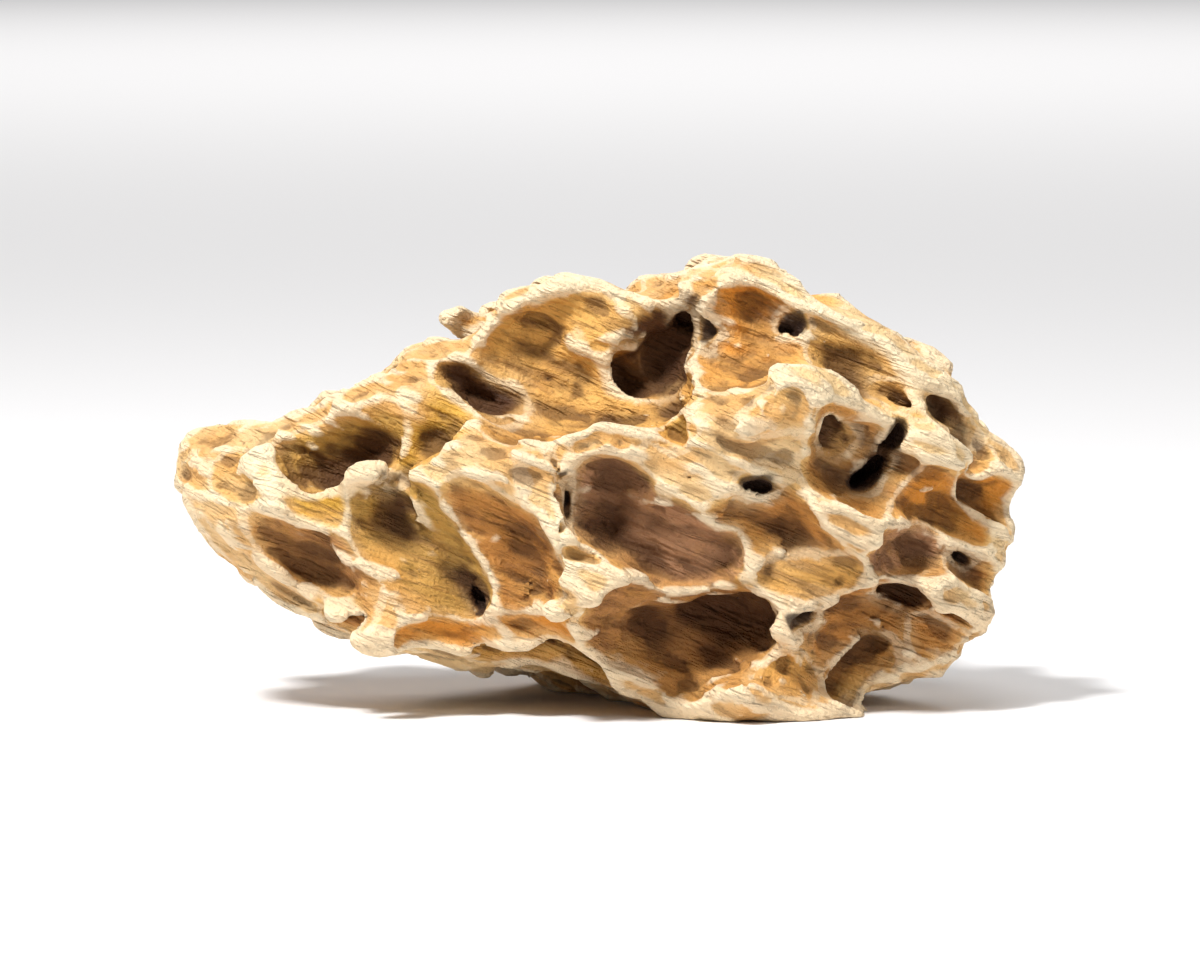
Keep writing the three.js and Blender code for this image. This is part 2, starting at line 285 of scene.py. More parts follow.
# Colours of the rock.
LAND_CREAM = (0.8, 0.55, 0.27)
LAND_TAN = (0.72, 0.39, 0.13)
LAND_GREY = (0.52, 0.34, 0.15)
LAND_LINE = (0.36, 0.17, 0.05)
FLOOR_OCHRE = (0.56, 0.26, 0.045)
FLOOR_DARK = (0.14, 0.052, 0.016)
# The pale colour of the crests, which also paints highlight along the rims and crests.
CREST_PALE_AND_HIGHLIGHT = (0.92, 0.76, 0.52)
WALL_GOLD = (0.78, 0.42, 0.1)
WALL_RUST = (0.68, 0.32, 0.07)
# Painted shade in the creases and enclosed hollows, and also the colour of cracks and specks.
SHADE_CRACK_AND_SPECK_BROWN = (0.075, 0.027, 0.007)
# Near-black painted shade in the small holes.
HOLE_SHADE_BLACK = (0.022, 0.009, 0.004)

# The bedding as the colours see it: how much they are drawn out along it, across it and through it.
BEDDING_STRETCH = (4.0, 1.7, 0.62)
BUMP_HEIGHT = 0.8 * MILLIMETRE
ROUGHNESS = (0.52, 0.85)
SPECULAR = 0.3

AIM = Vector((0, 0, 0.036))
CAMERA_LENS = 200
CAMERA_SENSOR = 36
CAMERA_DISTANCE = 1.08
CAMERA_ELEVATION = 5.5

# Name, azimuth from the front, elevation, distance, size and power.
LIGHTS = [
    ("key", -42, 57, 1.2, 0.2, 18.5),
    ("fill", 55, 25, 1.3, 0.5, 3.0),
    ("top", 10, 80, 1.2, 0.5, 4.0),
]
FAR_LIGHT_SIZE = 3.0
FAR_LIGHT_POWER = 80
FAR_LIGHT_PLACE = (0, 3.2, 2.2)
WORLD_COLOUR = (0.93, 0.93, 0.95, 1)
WORLD_STRENGTH = 0.11
FLOOR_REACH = 6.0
FLOOR_DROP = 0.0001
FLOOR_COLOUR = (0.88, 0.87, 0.87, 1)
FLOOR_ROUGHNESS = 0.7

# Tones of the scoops' floors. The last two are near black and paint the shade of deep holes and narrow
# cracks.
TONES = {
    "cream": (0.78, 0.56, 0.29),
    "tan": (0.7, 0.37, 0.09),
    "ochre": (0.68, 0.37, 0.05),
    "orange": (0.7, 0.28, 0.035),
    "olive": (0.5, 0.28, 0.06),
    "rust": (0.66, 0.25, 0.03),
    "umber": (0.5, 0.21, 0.045),
    "brown": (0.42, 0.195, 0.06),
    "purple": (0.42, 0.21, 0.1),
    "deep": (0.075, 0.029, 0.009),
    "shade_black": (0.03, 0.012, 0.005),
}
HIDDEN_TONES = ["tan", "brown", "umber", "olive", "purple", "ochre", "tan", "brown", "rust", "cream"]


def chance(item, use):
    """A repeatable number from 0 to 1, the same as the solid's."""
    drawn = math.sin(item * CHANCE_ITEM + use * CHANCE_USE) * CHANCE_SCALE
    return drawn - math.floor(drawn)


def draw(limits, item, use):
    """A repeatable number between the limits, which are the least value and how far above it to go."""
    least, spread = limits
    return least + spread * chance(item, use)


def wave(x, y, z, turns):
    """A sine wave through space."""
    along_x, along_y, along_z, start = turns
    return np.sin(along_x * x + along_y * y + along_z * z + start)


def outline_reach(angle):
    """A smooth closed curve through the outline's reaches."""
    reaches = np.array(OUTLINE, float)
    count = len(reaches)
    place = (angle / (2 * math.pi) * count) % count
    index = np.floor(place).astype(int)
    t = place - index
    a, b, c, d = (reaches[(index + step) % count] for step in (-1, 0, 1, 2))
    return b + 0.5 * t * (c - a + t * (2 * a - 5 * b + 4 * c - d + t * (3 * (b - c) + d - a)))


def body_reach(x, y, z):
    """How far the bare body reaches from its middle in a direction of unit length."""
    depth = np.where(y < 0, FRONT_DEPTH - FRONT_LEAN * z, BACK_DEPTH)
    outward = np.hypot(x, z) / outline_reach(np.arctan2(z, x))
    total = (np.abs(y) / depth) ** BODY_ROUNDNESS + outward ** BODY_ROUNDNESS
    swell = 1
    for height, first, second in RIPPLES:
        swell = swell + height * wave(x, y, z, first) * wave(x, y, z, second)
    return total ** (-1 / BODY_ROUNDNESS) * swell


def body_field(x, y, z):
    """Below 0 inside the bare body and above 0 outside it."""
    x, y, z = x - MIDDLE[0], y - MIDDLE[1], z - MIDDLE[2]
    distance = np.maximum(np.sqrt(x * x + y * y + z * z), LEAST_DISTANCE)
    return distance - body_reach(x / distance, y / distance, z / distance)


def body_normal(point):
    """The direction straight out of the bare body at a point."""
    slope = []
    for axis in range(3):
        ahead, behind = np.array(point, float), np.array(point, float)
        ahead[axis] += SLOPE_STEP
        behind[axis] -= SLOPE_STEP
        slope.append(body_field(*ahead) - body_field(*behind))
    return np.array(slope) / np.linalg.norm(slope)


def front_point(x, z):
    """The front surface of the bare body at x and z."""
    inside, outside = 0.0, -2 * FRONT_DEPTH
    for _ in range(SEARCH_STEPS):
        y = (inside + outside) / 2
        if body_field(x, y, z) < 0:
            inside = y
        else:
            outside = y
    return np.array([x, inside, z])


def drift(x, y, z):
    """How far the slow drift moves a point along x, y and z."""
    return [far * wave(x, y, z, turns) for far, turns in DRIFTS]


class Noise:
    """Smooth random numbers from -1 to 1 on a lattice that repeats every 32 cells."""

    SIZE = 32

    def __init__(self, seed):
        random = np.random.default_rng(seed)
        self.values = random.uniform(-1, 1, (self.SIZE,) * 3).astype(np.float32)

    def __call__(self, x, y, z):
        places = [np.asarray(c, np.float32) for c in (x, y, z)]
        cells = [np.floor(c).astype(np.int32) for c in places]
        fades = []
        for place, cell in zip(places, cells):
            t = place - cell
            fades.append(t * t * (3 - 2 * t))
        total = 0
        for bits in product((0, 1), repeat=3):
            weight = 1.0
            for bit, fade in zip(bits, fades):
                weight = weight * (fade if bit else 1 - fade)
            corner = tuple((cell + bit) % self.SIZE for cell, bit in zip(cells, bits))
            total = total + weight * self.values[corner]
        return total


def even_noise(x, y, z, seed, size, strength):
    """Noise of the same size in all directions."""
    return strength * Noise(seed)(x / size, y / size, z / size)


def cellular(x, y, z, seed):
    """For points scattered one to a cell: how far the nearest is, and the height of its slanted facet."""
    repeat = 24
    too_far = 9.0
    random = np.random.default_rng(seed)
    offsets = random.uniform(0, 1, (repeat, repeat, repeat, 3)).astype(np.float32)
    slants = random.normal(size=(repeat, repeat, repeat, 3)).astype(np.float32)
    place = np.stack([x, y, z], axis=-1).astype(np.float32)
    cell = np.floor(place).astype(np.int32)
    nearest = np.full(len(place), too_far, np.float32)
    facet = np.zeros(len(place), np.float32)
    for step in product((-1, 0, 1), repeat=3):
        other = cell + np.array(step, np.int32)
        index = tuple((other % repeat).T)
        away = place - other - offsets[index]
        gap = np.sqrt((away ** 2).sum(-1))
        height = (away * slants[index]).sum(-1)
        facet = np.where(gap < nearest, height, facet)
        nearest = np.minimum(nearest, gap)
    return nearest, facet


def smooth_min(a, b, blend):
    """The lesser of two fields, rounded off where they are within blend of each other."""
    near = np.maximum(blend - np.abs(a - b), 0) / blend
    return np.minimum(a, b) - near * near * blend / 4


def smooth_max(a, b, blend):
    """The greater of two fields, rounded off in the same way."""
    return -smooth_min(-a, -b, blend)


class Ellipsoid:
    """An ellipsoid with its own axes, whose distance is near enough for blending."""

    def __init__(self, centre, axes, sizes, tone=None, blend=SCOOP_BLEND):
        self.centre = np.array(centre, np.float32)
        self.axes = np.array(axes, np.float32)
        self.sizes = np.array(sizes, np.float32)
        self.tone = tone
        self.blend = blend
        self.home = self.centre
        self.reach = float(max(sizes)) + CARVE_MARGIN

    def distance(self, x, y, z):
        x, y, z = x - self.home[0], y - self.home[1], z - self.home[2]
        scaled = 0
        steep = 0
        for axis, size in zip(self.axes, self.sizes):
            along = (x * axis[0] + y * axis[1] + z * axis[2]) / size
            scaled = scaled + along * along
            steep = steep + (along / size) ** 2
        scaled = np.sqrt(scaled)
        return scaled * (scaled - 1) / np.maximum(np.sqrt(steep), LEAST_STEEPNESS)


def make_lump(at, size, tilt):
    """An ellipsoid that is tilted about Y."""
    angle = math.radians(tilt)
    axes = [(math.cos(angle), 0, math.sin(angle)), (0, 1, 0), (-math.sin(angle), 0, math.cos(angle))]
    return Ellipsoid(at, axes, size)


def make_scoop(surface, along, across, deep, tilt, plunge, tone, blend):
    """An ellipsoid with its middle on the bare body and its long axis along the bedding."""
    normal = body_normal(surface)
    angle, dip = math.radians(tilt), math.radians(plunge)
    strike = np.array([math.cos(angle), 0, math.sin(angle)])
    strike -= normal * strike.dot(normal)
    strike /= np.linalg.norm(strike)
    long = strike * math.cos(dip) - normal * math.sin(dip)
    inward = normal * math.cos(dip) + strike * math.sin(dip)
    wide = np.cross(inward, long)
    return Ellipsoid(surface, [long, wide, inward], (along, across, deep), tone, blend)


def front_scoops():
    scoops = []
    for name, (x, z, along, across, deep, tilt, plunge, tone) in FRONT_SCOOPS.items():
        blend = SOFT_EDGES.get(name, SCOOP_BLEND)
        scoops.append(make_scoop(front_point(x, z), along, across, deep, tilt, plunge, tone, blend))
    return scoops


def hidden_scoops():
    scoops = []
    for item in range(SPIRAL_PITS):
        y = 1 - (2 * item + 1) / SPIRAL_PITS
        around = item * GOLDEN_ANGLE
        ring = math.sqrt(1 - y * y)
        spot = np.array([ring * math.cos(around), y, ring * math.sin(around)])
        if y < SPIRAL_FRONT_LIMIT or spot[2] < SPIRAL_FOOT_LIMIT:
            continue
        direction = spot * BODY_SCALE
        direction /= np.linalg.norm(direction)
        surface = MIDDLE + direction * body_reach(*direction)
        along = draw(HIDDEN_ALONG, item, 1)
        across = draw(HIDDEN_ACROSS, item, 2)
        deep = draw(HIDDEN_DEEP, item, 3)
        plunge = draw(HIDDEN_PLUNGE, item, 5)
        tilt = BEDDING_TILT + BEDDING_SPREAD * (chance(item, 4) - 0.5)
        tone = HIDDEN_TONES[int(chance(item, 6) * len(HIDDEN_TONES))]
        scoops.append(make_scoop(surface, along, across, deep, tilt, plunge, tone, HIDDEN_BLEND))
    return scoops


class Grid:
    """A box of evenly spaced points, in millimetres."""

    def __init__(self, low, high, pitch):
        self.low = np.array(low, np.float32)
        self.pitch = pitch
        self.shape = tuple(int(n) for n in np.ceil((np.array(high) - self.low) / pitch) + 1)
        self.high = self.low + pitch * (np.array(self.shape) - 1)
        axes = [self.low[a] + pitch * np.arange(self.shape[a], dtype=np.float32) for a in range(3)]
        self.x, self.y, self.z = np.meshgrid(*axes, indexing="ij")

    def part(self, centre, reach):
        """The slices of the grid within reach of a point."""
        slices = []
        for a in range(3):
            first = int(math.floor((centre[a] - reach - self.low[a]) / self.pitch))
            last = int(math.ceil((centre[a] + reach - self.low[a]) / self.pitch)) + 1
            slices.append(slice(min(max(first, 0), self.shape[a]), min(max(last, 0), self.shape[a])))
        return tuple(slices)

    def sample(self, field, points):
        """The field at points between those of the grid."""
        place = (points - self.low) / self.pitch
        cell = np.clip(np.floor(place).astype(int), 0, np.array(self.shape) - 2)
        t = place - cell
        total = 0
        for bits in product((0, 1), repeat=3):
            weight = 1.0
            for a, bit in enumerate(bits):
                weight = weight * (t[:, a] if bit else 1 - t[:, a])
            total = total + weight * field[tuple((cell + bits).T)]
        return total


def blurred(field, radius, passes=2):
    """The field averaged over a cube that reaches radius cells each way."""
    for _ in range(passes):
        for axis in range(3):
            padding = [(0, 0)] * 3
            padding[axis] = (radius + 1, radius)
            sums = np.cumsum(np.pad(field, padding, mode="edge"), axis=axis, dtype=np.float64)
            width = 2 * radius + 1
            count = field.shape[axis]
            far = np.take(sums, np.arange(width, width + count), axis=axis)
            near = np.take(sums, np.arange(0, count), axis=axis)
            field = ((far - near) / width).astype(np.float32)
    return field


def surface_net(field, grid):
    """Points and quads on the zero level of a field, faces pointing out."""
    inside = field < 0
    count = np.zeros([n - 1 for n in grid.shape], np.int8)
    for bits in product((0, 1), repeat=3):
        count += inside[tuple(slice(bit, size - 1 + bit) for bit, size in zip(bits, grid.shape))]
    mixed = (count > 0) & (count < 8)
    cells = np.argwhere(mixed)
    number = np.full(mixed.shape, -1, np.int64)
    number[mixed] = np.arange(len(cells))

    total = np.zeros((len(cells), 3))
    hits = np.zeros(len(cells))
    for axis in range(3):
        others = [a for a in range(3) if a != axis]
        for bits in product((0, 1), repeat=2):
            corner = np.zeros(3, int)
            corner[others] = bits
            start = cells + corner
            end = start.copy()
            end[:, axis] += 1
            first, last = field[tuple(start.T)], field[tuple(end.T)]
            crossed = (first < 0) != (last < 0)
            share = np.where(crossed, first / np.where(crossed, first - last, 1), 0)
            place = np.tile(corner.astype(float), (len(cells), 1))
            place[:, axis] = share
            total += place * crossed[:, None]
            hits += crossed
    points = grid.low + grid.pitch * (cells + total / hits[:, None])

    quads = []
    for axis in range(3):
        second, third = (axis + 1) % 3, (axis + 2) % 3
        low_side = [slice(None)] * 3
        high_side = [slice(None)] * 3
        low_side[axis], high_side[axis] = slice(0, -1), slice(1, None)
        change = inside[tuple(low_side)] != inside[tuple(high_side)]
        edges = np.argwhere(change)
        keep = (edges[:, second] > 0) & (edges[:, third] > 0)
        keep &= (edges[:, second] < grid.shape[second] - 1) & (edges[:, third] < grid.shape[third] - 1)
        edges = edges[keep]
        ring = []
        for back_second, back_third in ((1, 1), (0, 1), (0, 0), (1, 0)):
            cell = edges.copy()
            cell[:, second] -= back_second
            cell[:, third] -= back_third
            ring.append(number[tuple(cell.T)])
        quad = np.stack(ring, axis=1)
        outward = inside[tuple(edges.T)]
        quad[~outward] = quad[~outward][:, ::-1]
        quads.append(quad)
    return points, np.concatenate(quads)


def largest_piece(points, quads):
    """Only the largest connected sheet, so that no crumb floats in a hole."""
    label = np.arange(len(points))
    while True:
        before = label.copy()
        least = label[quads].min(axis=1)
        for column in range(4):
            np.minimum.at(label, quads[:, column], least)
        label = label[label]
        if (label == before).all():
            break
    names, counts = np.unique(label[quads[:, 0]], return_counts=True)
    kept = label[quads[:, 0]] == names[counts.argmax()]
    quads = quads[kept]
    used = np.zeros(len(points), bool)
    used[quads] = True
    renumber = np.cumsum(used) - 1
    return points[used], renumber[quads]


def bedding_frame(x, y, z):
    """Coordinates along the bedding, across it and through its layers."""
    angle = math.radians(BEDDING_TILT)
    return x * math.cos(angle) + z * math.sin(angle), y, z * math.cos(angle) - x * math.sin(angle)


def make_distances():
    """The grid, the field of the finished stone and that of the bare one, the warped places, the carvers."""
    low, high = np.array(cad_box) / MILLIMETRE - CENTRING
    grid = Grid(low - GRID_MARGIN, high + GRID_MARGIN, PITCH)
    x, y, z = grid.x, grid.y, grid.z
    field = body_field(x, y, z).astype(np.float32)
    slope = np.gradient(field, PITCH)
    field /= np.maximum(np.sqrt(sum(s * s for s in slope)), LEAST_SLOPE)

    bends = [(Noise(seed), size, strength) for seed, size, strength in WARPS]
    warped = []
    for axis, (place, moved) in enumerate(zip((x, y, z), drift(x, y, z))):
        shift = WARP_APART * (axis + 1)
        bent = place - moved
        for noise, size, strength in bends:
            bent = bent - strength * noise(x / size + shift, y / size, z / size)
        warped.append(bent.astype(np.float32))

    for lump in LUMPS.values():
        ball = make_lump(*lump)
        part = grid.part(ball.centre, ball.reach)
        field[part] = smooth_min(field[part], ball.distance(*(w[part] for w in warped)), LUMP_BLEND)
    bare = field.copy()

    scoops = front_scoops() + hidden_scoops()
    carve(field, grid, warped, scoops)
    roughen(field, bare, grid)
    nicks = front_nicks(field, grid) + hidden_nicks(field, grid)
    carve(field, grid, warped, nicks, even_noise(x, y, z, *NICK_GRIT))

    for _ in range(FIN_ROUNDS):
        share = blurred((field < 0).astype(np.float32), FIN_REACH)
        field = smooth_max(field, FIN_DEPTH * (FIN_SHARE - share), FIN_BLEND)
    field = smooth_max(field, bare - HIGHEST_CREST, CREST_BLEND)
    field = np.maximum(field, -z)
    return grid, field, bare, warped, scoops + nicks


def carve(field, grid, warped, balls, grit=None):
    """Cuts each ball from the field. Its middle stays in place while the warp bends the rest of it."""
    for ball in balls:
        home = ball.centre[None, :]
        ball.home = np.array([grid.sample(w, home)[0] for w in warped], np.float32)
        part = grid.part(ball.centre, ball.reach)
        distance = ball.distance(*(w[part] for w in warped))
        if grit is not None:
            distance = distance + grit[part]
        field[part] = smooth_max(field[part], -distance, ball.blend)


def first_hit(field, grid, start, heading):
    """Where a straight line from outside first meets the stone."""
    places = start + heading * np.arange(0, RAY_LENGTH, RAY_STEP)[:, None]
    inside = grid.sample(field, np.clip(places, grid.low, grid.high)) < 0
    return places[inside.argmax()] if inside.any() else None


def front_nicks(field, grid):
    """The small holes of the front, each started on the surface that the scoops have left."""
    nicks = []
    for x, z, along, across, deep, tilt, plunge, tone in FRONT_NICKS.values():
        spot = first_hit(field, grid, np.array([x, grid.low[1], z]), np.array([0, 1.0, 0]))
        if spot is not None:
            nicks.append(make_scoop(spot, along, across, deep, tilt, plunge, tone, NICK_BLEND))
    return nicks


def hidden_nicks(field, grid):
    """Small scoops and holes scattered over the hidden sides."""
    random = np.random.default_rng(NICK_SEED)
    nicks = []
    for _ in range(NICK_DRAWS):
        spot = random.normal(size=3)
        spot /= np.linalg.norm(spot)
        length, width, depth, turn, choice = random.uniform(0, 1, 5)
        if spot[1] < NICK_FRONT_LIMIT or spot[2] < SPIRAL_FOOT_LIMIT:
            continue
        direction = spot * BODY_SCALE
        direction /= np.linalg.norm(direction)
        start = MIDDLE + direction * body_reach(*direction) * RAY_START
        surface = first_hit(field, grid, start, -direction)
        along = NICK_ALONG[0] + NICK_ALONG[1] * length ** 2
        across = along * (NICK_WIDTH[0] + NICK_WIDTH[1] * width)
        deep = NICK_DEEP[0] + NICK_DEEP[1] * depth
        tilt = BEDDING_TILT + NICK_TURN * (turn - 0.5)
        # A short nick takes the near-black tone, which paints the shade of a small hole.
        tone = HIDDEN_TONES[int(choice * len(HIDDEN_TONES))] if along > NICK_SMALL else "deep"
        nicks.append(make_scoop(surface, along, across, deep, tilt, NICK_PLUNGE, tone, NICK_BLEND))
    return nicks


def roughen(field, bare, grid):
    """Scallops, chips, ridges, bedding lines and grain, worked out only near the surface."""
    band = np.nonzero(np.abs(field) < ROUGH_BAND)
    x, y, z = grid.x[band], grid.y[band], grid.z[band]
    u, v, w = bedding_frame(x, y, z)
    w = w + even_noise(x, y, z, *BEDDING_BEND)
    relief = np.zeros(len(x), np.float32)
    land = DEEP_SHARE + LAND_SHARE * np.clip(LAND_START + bare[band] / LAND_SPAN, 0, 1)
    for seed, length, width, depth in SCALLOPS:
        nearest, _ = cellular(u / length, v / width, w / width, seed)
        relief += land * depth * (SCALLOP_LIFT - np.minimum(nearest / SCALLOP_RADIUS, SCALLOP_EDGE) ** 2)
    for seed, length, width, height in CHIPS:
        relief += height * cellular(u / length, v / width, w / width, seed)[1]
    for seed, length, width, thick, height in RIDGES:
        relief += land * height * (np.abs(Noise(seed)(u / length, v / width, w / thick)) - RIDGE_LEVEL)
    seed, length, width, thick, height = BEDDING_LINES
    relief += height * Noise(seed)(u / length, v / width, w / thick)
    relief += even_noise(x, y, z, *GRAIN)
    brow = TOP_SHRINK * np.clip((z - TOP_START) / TOP_SPAN, 0, 1)
    field[band] += np.maximum(relief, -HIGHEST_RELIEF) + SHRINK + brow


def smoothed(points, quads, share):
    """Each point moved a share of the way to the middle of its neighbours."""
    total = np.zeros_like(points)
    count = np.zeros(len(points))
    for corner in range(4):
        here, there = quads[:, corner], quads[:, (corner + 1) % 4]
        for a, b in ((here, there), (there, here)):
            for axis in range(3):
                total[:, axis] += np.bincount(a, points[b, axis], len(points))
            count += np.bincount(a, minlength=len(points))
    return points + share * (total / count[:, None] - points)


def lightened(points, quads):
    """The surface in no more triangles than the limit."""
    mesh = bpy.data.meshes.new("fine_surface")
    mesh.from_pydata(points, [], quads)
    fine = bpy.data.objects.new("fine_surface", mesh)
    bpy.context.scene.collection.objects.link(fine)
    fine.modifiers.new("fewer", "DECIMATE").ratio = min(1.0, TRIANGLE_LIMIT / (2 * len(quads)))
    evaluated = fine.evaluated_get(bpy.context.evaluated_depsgraph_get())
    light = evaluated.to_mesh()
    light.calc_loop_triangles()
    places = np.zeros(3 * len(light.vertices))
    corners = np.zeros(3 * len(light.loop_triangles), np.int32)
    light.vertices.foreach_get("co", places)
    light.loop_triangles.foreach_get("vertices", corners)
    evaluated.to_mesh_clear()
    bpy.data.objects.remove(fine)
    bpy.data.meshes.remove(mesh)
    return places.reshape(-1, 3), corners.reshape(-1, 3)


def surface_tints(points, warped_points, depth, carvers):
    """The colour of the scoops that each point lies in, how surely it lies in one or in a hole painted black
    as shade, and how far it is from a crest, where two of the surfaces meet."""
    found = []
    first = np.abs(depth)
    second = np.full(len(points), CREST_REACH)
    for ball in carvers:
        near = np.nonzero(((points - ball.centre) ** 2).sum(1) < ball.reach ** 2)[0]
        distance = np.abs(ball.distance(*(warped_points[near].T)))
        if ball.blend <= HIDDEN_BLEND:
            second[near] = np.minimum(second[near], np.maximum(first[near], distance))
        first[near] = np.minimum(first[near], distance)
        found.append((near, distance))

    land = np.exp(-((np.abs(depth) - first) / TINT_BLEND) ** 2)
    colour = np.zeros((len(points), 3))
    weight = np.full(len(points), LEAST_WEIGHT)
    black = np.zeros(len(points))
    for ball, (near, distance) in zip(carvers, found):
        share = np.exp(-((distance - first[near]) / TINT_BLEND) ** 2)
        colour[near] += share[:, None] * np.array(TONES[ball.tone])
        weight[near] += share
        # Share of the holes whose near-black tone paints their shade.
        if ball.tone == "shade_black":
            black[near] += share
    total = weight + land
    return colour / weight[:, None], weight / total, black / total, second - first


def make_stone():
    """The finished stone as a mesh with the measures that its colours follow."""
    grid, field, bare, warped, carvers = make_distances()
    points, quads = largest_piece(*surface_net(field, grid))
    for share in SMOOTHING:
        points = smoothed(points, quads, share)
    points[:, 2] = np.maximum(points[:, 2], 0)
    points, triangles = lightened(points, quads)

    mesh = bpy.data.meshes.new("dragon_stone_surface")
    mesh.from_pydata((points + CENTRING) * MILLIMETRE, [], triangles)
    mesh.validate()
    mesh.polygons.foreach_set("use_smooth", np.ones(len(mesh.polygons), bool))
    normals = np.zeros(3 * len(points), np.float32)
    mesh.vertex_normals.foreach_get("vector", normals)
    normals = normals.reshape(-1, 3)

    filled = blurred((field < 0).astype(np.float32), ENCLOSED_REACH)
    clipped = np.clip(field, -CREST_LIMIT, CREST_LIMIT)
    depth = -grid.sample(bare, points)
    warped_points = np.stack([grid.sample(w, points) for w in warped], axis=1)
    tint, floor, hole, rim = surface_tints(points, warped_points, depth, carvers)
    measures = {
        "up": normals[:, 2],
        "crest": grid.sample(blurred(clipped, CREST_BLUR) - clipped, points),
        "enclosed": grid.sample(filled, points + ENCLOSED_LIFT * normals),
        "depth": depth,
        "floor": floor,
        "hole": hole,
        "rim": rim,
    }
    for name, values in measures.items():
        attribute = mesh.attributes.new(name, "FLOAT", "POINT")
        attribute.data.foreach_set("value", values.astype(np.float32))
    attribute = mesh.attributes.new("tint", "FLOAT_COLOR", "POINT")
    rgba = np.concatenate([tint, np.ones((len(points), 1))], axis=1).astype(np.float32)
    attribute.data.foreach_set("color", rgba.ravel())

    stone = bpy.data.objects.new("dragon_stone_surface", mesh)
    bpy.context.scene.collection.objects.link(stone)
    mesh.materials.append(make_material())
    return stone


class Tree:
    """Short names for the shader nodes of one material."""

    def __init__(self, name):
        self.material = bpy.data.materials.new(name)
        self.material.use_nodes = True
        self.nodes = self.material.node_tree.nodes
        self.links = self.material.node_tree.links
        self.nodes.clear()

    def node(self, kind, **settings):
        """A new node with the given settings."""
        made = self.nodes.new(kind)
        for name, value in settings.items():
            setattr(made, name, value)
        return made

    def set(self, socket, value):
        """Links a socket, or sets its value."""
        if isinstance(value, bpy.types.NodeSocket):
            self.links.new(value, socket)
        elif isinstance(value, tuple) and len(value) == 3 and socket.type == "RGBA":
            socket.default_value = (*value, 1)
        else:
            socket.default_value = value

    def attribute(self, name, output="Fac"):
        """A measure that the mesh carries."""
        return self.node("ShaderNodeAttribute", attribute_name=name).outputs[output]

    def math(self, operation, a, b=0.0):
        made = self.node("ShaderNodeMath", operation=operation)
        self.set(made.inputs[0], a)
        self.set(made.inputs[1], b)
        return made.outputs[0]

    def step(self, value, low, high):
        """0 at low and 1 at high, with a smooth change between."""
        made = self.node("ShaderNodeMapRange", interpolation_type="SMOOTHSTEP")
        self.set(made.inputs["Value"], value)
        self.set(made.inputs["From Min"], low)
        self.set(made.inputs["From Max"], high)
        return made.outputs["Result"]

    def mix(self, factor, a, b):
        """Colour a where the factor is 0 and colour b where it is 1."""
        made = self.node("ShaderNodeMix", data_type="RGBA")
        self.set(made.inputs[0], factor)
        self.set(made.inputs[6], a)
        self.set(made.inputs[7], b)
        return made.outputs[2]

    def paint(self, colour, other, mask, strength):
        """Another colour laid over the first where the mask is 1, at this strength."""
        return self.mix(self.math("MULTIPLY", mask, strength), colour, other)

    def fold(self, noise):
        """How far noise is from its middle, which makes a sharp line where it crosses that."""
        return self.math("ABSOLUTE", self.math("SUBTRACT", noise, 0.5))

    def noise(self, place, size, detail=4.0, roughness=0.6, distortion=0.0):
        """Noise whose features are about size millimetres across."""
        made = self.node("ShaderNodeTexNoise")
        self.set(made.inputs["Vector"], place)
        made.inputs["Scale"].default_value = 1 / (size * MILLIMETRE)
        made.inputs["Detail"].default_value = detail
        made.inputs["Roughness"].default_value = roughness
        made.inputs["Distortion"].default_value = distortion
        return made.outputs["Fac"]


